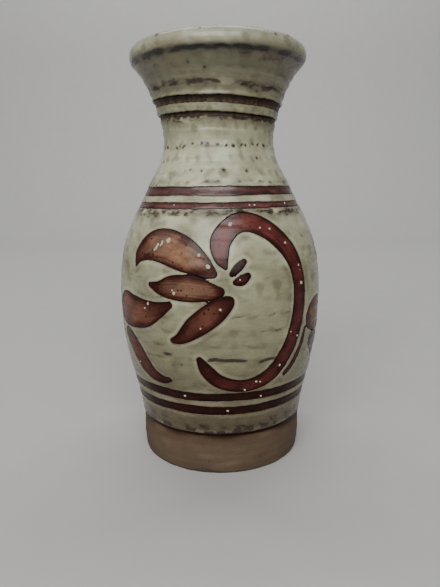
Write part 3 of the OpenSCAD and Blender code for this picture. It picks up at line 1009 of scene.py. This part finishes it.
# The same on the bands: angle, height, radius
BAND_BEADS = [
    (-21.4, 61.9, 0.9), (23.7, 60.8, 0.8), (3.9, 51.3, 0.9), (20, 193.6, 0.6), (23.6, 193.6, 0.7),
    (50.9, 194.2, 0.8), (-31, 194, 0.5), (97, 62, 0.8), (152, 51.5, 0.9), (174, 193.5, 0.7), (221, 62.5, 0.8),
    (263, 193.4, 0.8), (292, 52, 0.7),
]


def bead_at(theta, z, radius, seed, sit):
    """A low round drop on the surface: points, faces and colour."""
    rng = np.random.default_rng(seed)
    spokes, rings, foot = 14, 5, 0.15
    a = np.arange(spokes) * TURN / spokes
    wobble = 1 + 0.1 * np.cos(2 * a + rng.uniform(0, 6)) + 0.06 * np.cos(3 * a + rng.uniform(0, 6))
    share = np.sin(np.linspace(0, math.pi / 2, rings + 1))[1:]
    height = np.sqrt(np.clip(1 - share ** 2, 0, 1)) * min(0.5, 0.42 * radius) + sit
    k = float(per_degree(z))
    t = theta + np.outer(share, np.cos(a) * wobble * radius) / k
    h = z + np.outer(share, np.sin(a) * wobble * radius)
    dome = on_pot(t, glaze_surface(t, h) + height[:, None], h).reshape(-1, 3)
    skirt = on_pot(t[-1], glaze_surface(t[-1], h[-1]) + foot, h[-1])
    middle_t, middle_z = np.array([theta]), np.array([z])
    surface = glaze_surface(middle_t, middle_z)
    tip = on_pot(middle_t, surface + height[0] + 0.02, middle_z)
    centre = on_pot(middle_t, surface + foot, middle_z)
    points = np.concatenate([tip, dome, skirt, centre])
    j = np.arange(spokes)
    n = (j + 1) % spokes
    last = 1 + rings * spokes
    rows = np.arange(1, last, spokes)[:, None]
    cap = np.stack([0 * j, 1 + j, 1 + n], axis=1)
    sides = np.stack([rows + j, rows + spokes + j, rows + spokes + n, rows + n], axis=-1)
    floor = np.stack([last + j, 0 * j + last + spokes, last + n], axis=1)
    loops = np.concatenate([cap.ravel(), sides.ravel(), floor.ravel()])
    counts = np.repeat([3, 4, 3], [spokes, rings * spokes, spokes])
    return points, loops, counts, np.tile(srgb(192, 183, 164), (len(points), 1))


def on_stroke(line, along, across):
    """Angle and height of a place on a stroke."""
    i = int(np.clip(np.searchsorted(line[:, 3], along * line[-1, 3]), 1, len(line) - 2))
    k = float(per_degree(line[i, 1]))
    d = np.array([(line[i + 1, 0] - line[i - 1, 0]) * k, line[i + 1, 1] - line[i - 1, 1]])
    d /= np.linalg.norm(d)
    s = across * line[i, 2]
    return line[i, 0] - d[1] * s / k, line[i, 1] + d[0] * s


def all_beads():
    """The beads named above, then others at random, more of them on the motifs at the back."""
    sit = IRON_T - 0.02
    made = []
    for n, (stroke, along, across, radius) in enumerate(BEADS):
        t, z = on_stroke(LINES[stroke, 0], along, across)
        made.append(bead_at(t, z, radius, 300 + n, sit))
    for n, (t, z, radius) in enumerate(BAND_BEADS):
        made.append(bead_at(t, z, radius, 360 + n, sit))
    rng = np.random.default_rng(77)
    for (stroke, m), line in LINES.items():
        area = line[-1, 3] * line[:, 2].mean() * 2
        for n in range(rng.poisson(area / (190 if m else 700))):
            t, z = on_stroke(line, rng.uniform(0.06, 0.94), rng.uniform(-0.75, 0.75))
            made.append(bead_at(t, z, rng.uniform(0.35, 1.0), 400 + n, sit))
    return made


def make_belly():
    """The belly's pale glaze, with a window for each brush mark."""
    i = FIELDS.index("glaze_belly")
    theta = around(400, -90)
    grid_t, grid_z = ring_grid(theta, edge(i, 1, theta), edge(i + 1, 0, theta), 1.2)[:2]
    away = iron_away(grid_t, grid_z) - 2 * GAP
    t, z, deep, loops, counts = trimmed(grid_t, grid_z, away, True, 0.45, (0.17, 0.34, 0.45))
    low, high = (np.interp(t, theta, row, period=360) for row in (grid_z[0], grid_z[-1]))
    near = np.minimum(deep, np.maximum(np.minimum(z - low, high - z), 0))
    pale_piece("glaze_belly", t, z, near, loops, counts, all_beads())


def lip_profile():
    """Glaze from the top of the flare round the lip roll and down to the liner, and how far each point is
    from the groove under the roll."""
    top = np.array([TOP_R + GLAZE_T, TOP_Z])
    end = np.array([TOP_R - WALL - GLAZE_T, TOP_Z])
    roll = roll_profile(GLAZE_T, 4)
    # from the roll a curve that meets the liner without a corner
    bend = np.array([roll[-1][0], TOP_Z + (roll[-1][0] - end[0]) / LEAN[-1]])
    share = np.append(np.arange(16) / 16, 0.99)[:, None]
    down = roll[-1] * (1 - share) ** 2 + bend * 2 * share * (1 - share) + end * share ** 2
    profile = np.vstack([straight(top, roll[0], 0.6), roll[:-1], down, [end]])
    return profile, np.linalg.norm(profile - roll[0], axis=1)


def rim_tint(t, r, z, near, groove):
    """Colour and smears of the rim's glaze. On the roll, the height says less than the way round it."""
    round_roll = z > TOP_Z
    tint, rows = pale_tint(t, z, near, z - np.where(round_roll, r - TOP_R, 0))
    inward = smoothstep(LIP_R - 1, LIP_R - 5, r) * (z > TOP_Z - 0.1)
    tint = mixed(tint, srgb(108, 100, 78), 0.5 * inward)
    # the top of the roll painted paler: a painted highlight
    crest_highlight = bump_at(r, LIP_R + 1.5, 3.2) * (z > ROLL_Z)
    tint = mixed(tint, srgb(184, 181, 163), 0.45 * crest_highlight)
    blotch = smoothstep(-1.1, 0.7, ripple(33, t, z, (5, 34), 9))
    tint = mixed(tint, srgb(18, 10, 8), np.clip(1.5 * groove * (0.35 + 0.65 * blotch), 0, 0.96))
    rows = np.maximum(rows * (1 - inward), 0.55 * groove * (0.3 + 0.7 * blotch))
    lean = np.degrees(np.arctan2(z - ROLL_Z, r - LIP_R))
    for angle, place, radius in LIP_SPOTS:
        off = np.radians(nearest_turn(t - angle)) * r
        spot = bump_at(np.hypot(off, np.radians(lean - place) * ROLL_R), 0, radius) * round_roll
        tint = mixed(tint, srgb(40, 30, 23), 1.25 * spot)
    return tint, rows


def make_rim():
    """Glaze of the flare, over the lip roll and down inside to the liner."""
    i = len(FIELDS) - 1
    theta = around(560, -180)
    bottom = edge(i, 1, theta) + GAP
    up = np.concatenate([EDGE_ROWS, np.arange(1.0, 18.3, 0.62)])[:, None]
    z = bottom[None, :] + (TOP_Z - bottom)[None, :] * (up / (TOP_Z - BANDS[i][2]))
    t = theta[None, :] + 0 * z
    over = smoothstep(TOP_Z - 8, TOP_Z, z)
    r = glaze_surface(t, z) + coat_height(up + 0 * z, GLAZE_T)
    r = r * (1 - over) + (clay_r(z) + GLAZE_T + 0.4 * soft(t, z)) * over

    lip, from_groove = lip_profile()
    from_groove = from_groove[:, None]
    lip_t, lip_r, lip_z = spun(lip, theta)
    lip_r = lip_r - 0.35 * bump_at(from_groove, 0, 1.1)
    centre_r, centre_z = lip_r - LIP_R, lip_z - ROLL_Z
    away = np.maximum(np.hypot(centre_r, centre_z), 1)
    wave = 0.14 * ripple(31, lip_t, lip_z, (1, 5), 60, 8) + 0.05 * ripple(32, lip_t, lip_z, (6, 30), 20)
    wave = wave * smoothstep(1.0, 4.0, from_groove) * (lip_z > TOP_Z + 5)
    lip_r = lip_r + wave * centre_r / away
    lip_z = lip_z + wave * centre_z / away

    back = np.vstack([[[TOP_R - WALL, TOP_Z]], roll_profile(0, 12)[::-1]])
    back_r, back_z = spun(back, theta)[1:]
    flare_back = coat_back(t, z)
    all_r = np.vstack([r, lip_r, back_r, flare_back[::-1][:-1:3], flare_back[:1]])
    all_z = np.vstack([z, lip_z, back_z, z[::-1][:-1:3], z[:1]])
    all_t = theta[None, :] + 0 * all_r
    near = np.full(all_r.shape, NO_IRON)
    near[:len(up)] = up
    groove = np.zeros(all_r.shape)
    groove[len(up):len(up) + len(lip)] = bump_at(from_groove, 0.3, 1.7)
    tint, rows = rim_tint(all_t, all_r, all_z, near, groove)
    points, loops, counts = lathe(on_pot(all_t, all_r, all_z), True)[:3]
    add_piece("glaze_rim", PALE_GLAZE, points, loops, counts, tint.reshape(-1, 3), rows.ravel())


# ---- brush strokes ----

# Colours of a stroke: its outline, the body near the edge, the middle, and how far in the middle is reached
STROKE_COLOURS = {
    "crescent": ((26, 10, 8), (48, 18, 15), (78, 35, 31), 4.6),
    "petal_upper": ((30, 11, 9), (66, 25, 20), (134, 97, 73), 7.5),
    "petal_middle": ((30, 11, 9), (62, 23, 18), (118, 87, 70), 6.3),
    "petal_lower": ((30, 11, 9), (56, 21, 17), (97, 58, 46), 6.0),
    "leaf": ((30, 12, 9), (62, 24, 19), (106, 67, 52), 7.0),
    "stem": ((28, 12, 9), (54, 22, 18), (80, 42, 34), 5.0),
    "tendril": ((26, 10, 8), (48, 19, 15), (64, 29, 24), 2.5),
    "stamen_upper": ((20, 9, 7), (40, 16, 12), (54, 23, 18), 2.2),
    "stamen_lower": ((20, 9, 7), (40, 16, 12), (58, 26, 20), 2.8),
}
# Share of a stroke's length over which its first and last end darken
TIPS = {
    "crescent": (0.05, 0.18), "petal_upper": (0.55, 0.1), "petal_middle": (0.55, 0.12),
    "petal_lower": (0.6, 0.4), "leaf": (0.02, 0.7), "stem": (0.1, 0.5),
}
RUST = ("petal_upper", "petal_middle", "petal_lower", "leaf")


def stroke_tint(name, m, t, z, deep):
    """Colour of a brush mark: dark outline, rusty middle, streaks along the brush and darker ends."""
    line = LINES[name, m]
    where = brush_depth(line, t, z)[1]
    along = line[where, 3]
    k = per_degree(z)
    before, after = np.maximum(where - 1, 0), np.minimum(where + 1, len(line) - 1)
    dx = (line[after, 0] - line[before, 0]) * k
    dz = line[after, 1] - line[before, 1]
    size = np.maximum(np.hypot(dx, dz), 1e-6)
    side = ((t - line[where, 0]) * k * -dz + (z - line[where, 1]) * dx) / size
    seed = 200 + 10 * m + list(STROKES).index(name)
    rng = np.random.default_rng(seed)
    streak = np.zeros(len(t))
    streaks = 14
    for i in range(streaks):
        streak += np.cos(side * rng.uniform(0.8, 5) + along * rng.uniform(-0.12, 0.12) + rng.uniform(0, 6.28))
    streak *= math.sqrt(2 / streaks)
    cloud = ripple(seed, t, z, (4, 30), 14)
    outline, body, middle, reach = STROKE_COLOURS[name]
    body = srgb(*body)
    rough = 0.7 * cloud * smoothstep(0, 2, deep) + 0.5 * streak * smoothstep(0.5, 2, deep)
    tint = mixed(np.tile(body, (len(t), 1)), srgb(*middle), smoothstep(0.6, reach, deep + rough))
    ends = along / line[-1, 3]
    # the crescent lighter towards its upper start: partly its own colour, partly a painted highlight
    if name == "crescent":
        tint = mixed(tint, tint * 1.7, smoothstep(0.42, 0.2, ends))
    first, final = TIPS.get(name, (0.12, 0.12))
    dark_tip = np.maximum(smoothstep(first, 0.0, ends), smoothstep(1 - final, 1.0, ends))
    tint = mixed(tint, body * 0.8, 0.9 * dark_tip)
    tint = mixed(tint, srgb(*outline), bump_at(np.maximum(deep, 0), 0, 0.95))
    return tint * (1 + 0.1 * cloud + 0.07 * streak)[:, None]


def make_stroke(name, m):
    """One brush mark of motif m, cut out of a grid along its outline."""
    line = LINES[name, m]
    margin = line[:, 2].max() + 1.5
    k = float(per_degree(line[:, 1].mean()))
    step = 0.62
    lo_t, hi_t = line[:, 0].min() - margin / k * 1.1, line[:, 0].max() + margin / k * 1.1
    lo_z, hi_z = line[:, 1].min() - margin, line[:, 1].max() + margin
    grid_t, grid_z = np.meshgrid(
        np.linspace(lo_t, hi_t, int((hi_t - lo_t) * k / step) + 2),
        np.linspace(lo_z, hi_z, int((hi_z - lo_z) / step) + 2),
    )
    depth = brush_depth(line, grid_t, grid_z)[0]
    t, z, deep, loops, counts = trimmed(grid_t, grid_z, depth, False, 0.4, (0.12, 0.25, 0.35, 0.4))
    out = glaze_surface(t, z) + coat_height(deep, IRON_T, 0.12, 0.4, 0.0)
    tint = stroke_tint(name, m, t, z, deep)
    points, loops, counts = shell(t, z, out, coat_back(t, z), loops, counts)
    slot, material = ("iron_rust", IRON_RUST) if name in RUST else ("iron_dark", IRON_DARK)
    add_piece(f"{name}_{m + 1}", material, points, loops, counts, np.tile(tint, (2, 1)))


make_clay()
make_liner()
for number in range(len(BANDS)):
    make_band(number)
for number, field in enumerate(FIELDS[:-1]):
    if field != "glaze_belly":
        make_field(number)
make_belly()
make_rim()
for motif_number in range(len(MOTIFS)):
    for stroke_name in STROKES:
        make_stroke(stroke_name, motif_number)

# ---- floor, camera and lights ----


def make_floor():
    """A pale floor that curves up into a backdrop behind the vase."""
    bend = 900.0
    a = np.radians(np.arange(6, 91, 6))
    y = np.concatenate([[-3000, 1600], 1600 + bend * np.sin(a), [1600 + bend]])
    z = np.concatenate([[0, 0], bend - bend * np.cos(a), [3200]])
    n = len(y)
    points = np.concatenate([np.column_stack([np.full(n, x), y, z]) for x in (-3500, 3500)])
    i = np.arange(n - 1)
    loops = np.stack([i, i + n, i + n + 1, i + 1], axis=1).ravel()
    s = Shader("studio_floor", 0.9, 0.2)
    cloud = s.noise((30, 30, 30), 3)
    s.put(s.inputs["Base Color"], s.mix(cloud, rgba(srgb(196, 195, 193)), rgba(srgb(202, 201, 199))))
    build("studio_floor", points, loops, np.full(n - 1, 4), s.material)


def add_light(name, place, aim, width, height, watts, colour):
    data = bpy.data.lights.new(name, "AREA")
    data.shape = "RECTANGLE"
    data.size = width
    data.size_y = height
    data.energy = watts
    data.color = colour
    lamp = bpy.data.objects.new(name, data)
    lamp.location = place
    lamp.rotation_euler = (Vector(aim) - Vector(place)).to_track_quat("-Z", "Y").to_euler()
    bpy.context.scene.collection.objects.link(lamp)


def light_world():
    """Faint even light from all round."""
    world = bpy.data.worlds.new("studio")
    world.use_nodes = True
    sky = world.node_tree.nodes["Background"].inputs
    sky["Color"].default_value = (0.9, 0.95, 1.0, 1.0)
    sky["Strength"].default_value = 0.14
    bpy.context.scene.world = world


def add_camera():
    """Camera a little above the vase's middle, near it and looking down."""
    data = bpy.data.cameras.new("camera")
    data.sensor_width = 36.0
    data.lens = 32.1
    data.clip_start = 0.01
    camera = bpy.data.objects.new("camera", data)
    camera.matrix_world = (
        Matrix.Translation((0, -0.4121, 0.2037))
        @ Matrix.Rotation(math.radians(90 - 11.19), 4, "X")
        @ Matrix.Rotation(math.radians(-0.606), 4, "Z")
    )
    bpy.context.scene.collection.objects.link(camera)
    bpy.context.scene.camera = camera


make_floor()
add_light("window", (-0.2, -1.6, 1.22), (0, 0, 0.35), 2.0, 1.25, 38, (1.0, 0.99, 0.97))
add_light("side_fill", (-2.0, -0.6, 1.3), (0, 0, 0.15), 1.2, 1.2, 4, (1.0, 0.98, 0.95))
add_light("backdrop_wash", (0, 0.9, 2.6), (0, 2.3, 0.6), 3.0, 0.6, 45, (1.0, 1.0, 1.0))
light_world()
add_camera()
